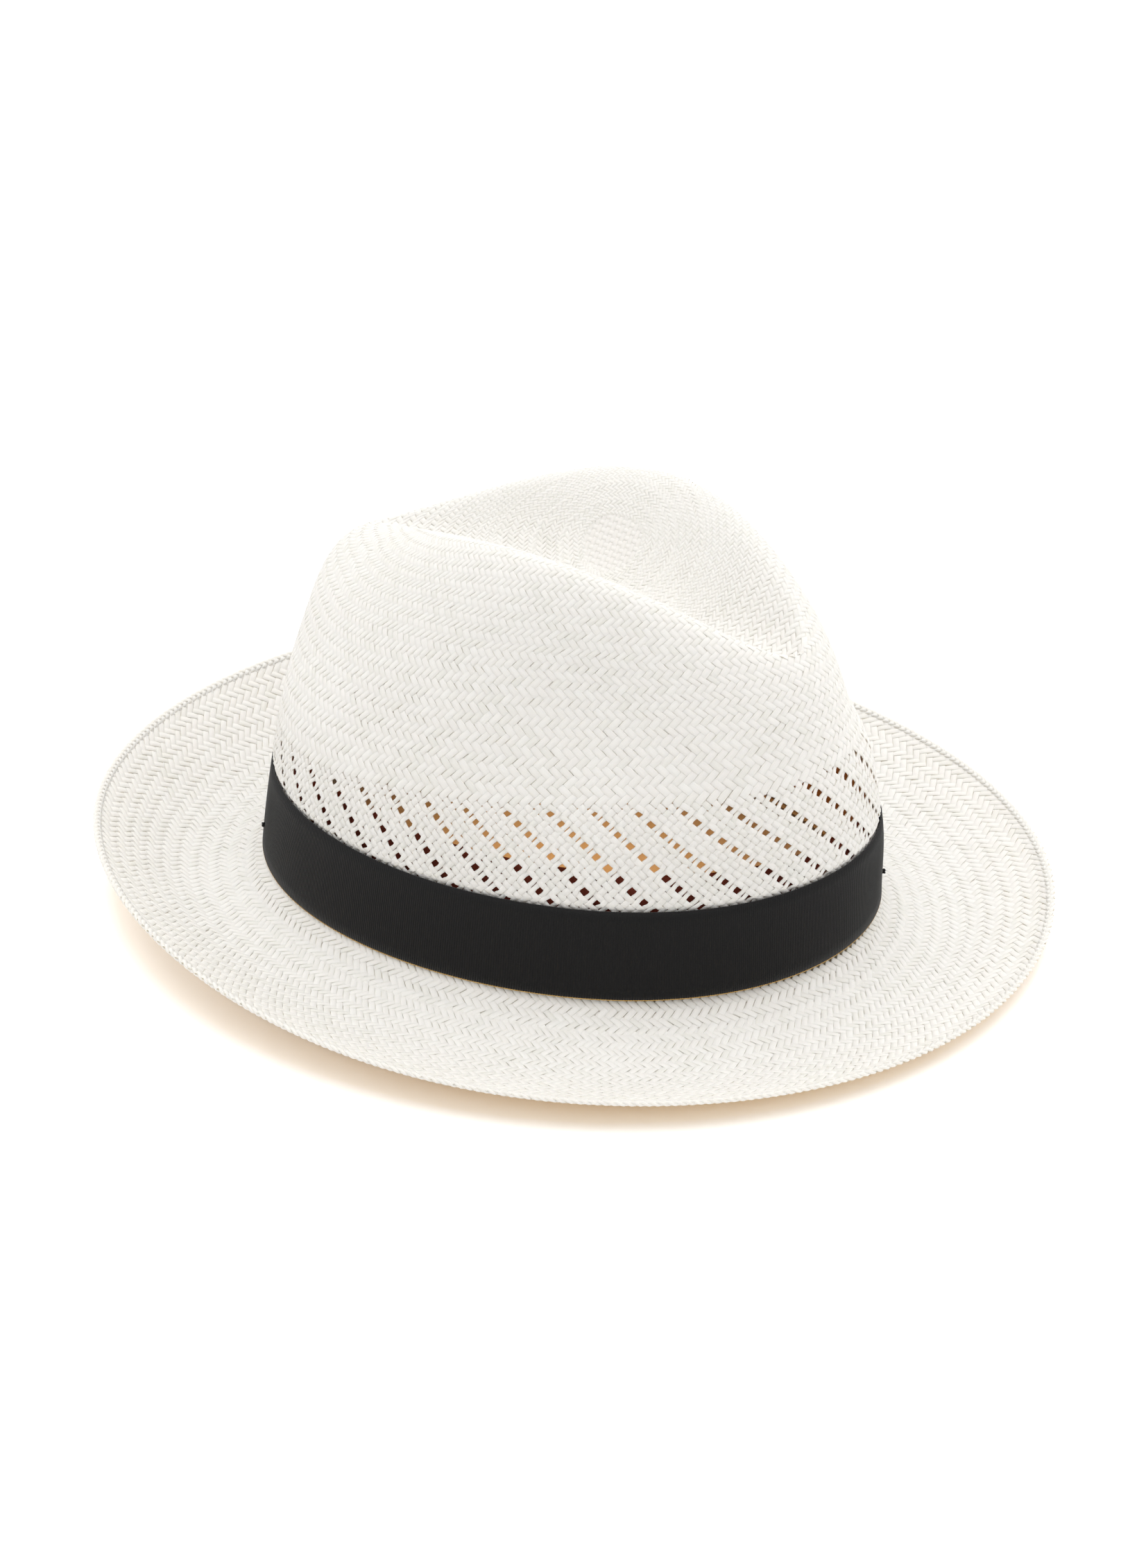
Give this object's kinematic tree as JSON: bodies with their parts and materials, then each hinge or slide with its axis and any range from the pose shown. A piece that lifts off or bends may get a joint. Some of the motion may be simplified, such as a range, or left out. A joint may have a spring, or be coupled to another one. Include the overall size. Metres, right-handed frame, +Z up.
{
  "type": "straw fedora hat",
  "caption": "Woven straw fedora with a pinched teardrop crown, an openwork strip, a dark ribbon band with a side bow and a leather sweatband.",
  "frame": {"origin": "centre of the head opening, in the plane where the crown's wall meets the brim", "axes": "-Y points to the front of the hat, +X to the wearer's left, where the bow is, and +Z up through the crown"},
  "size_m": [0.2902, 0.3224, 0.1385],
  "materials": {
    "straw": "bleached woven palm straw, matte with a faint sheen",
    "ribbon": "black ribbed grosgrain ribbon",
    "leather": "smooth tan leather with a dark red-brown back",
    "reed": "thin flexible plastic cord",
    "tape": "cream woven tape",
    "thread": "fine sewing thread"
  },
  "bodies": {
    "root": {"straw_crown": "straw", "straw_brim": "straw", "brim_border": "straw", "ribbon_band": "ribbon", "bow_tail": "ribbon", "bow_loops": "ribbon", "bow_wrap": "ribbon", "band_tacks": "thread", "bow_tacks": "thread", "sweatband": "leather", "sweatband_reed": "reed", "reed_tape": "tape", "sweatband_thread": "thread", "sweatband_bow": "ribbon"}
  },
  "joints": []
}
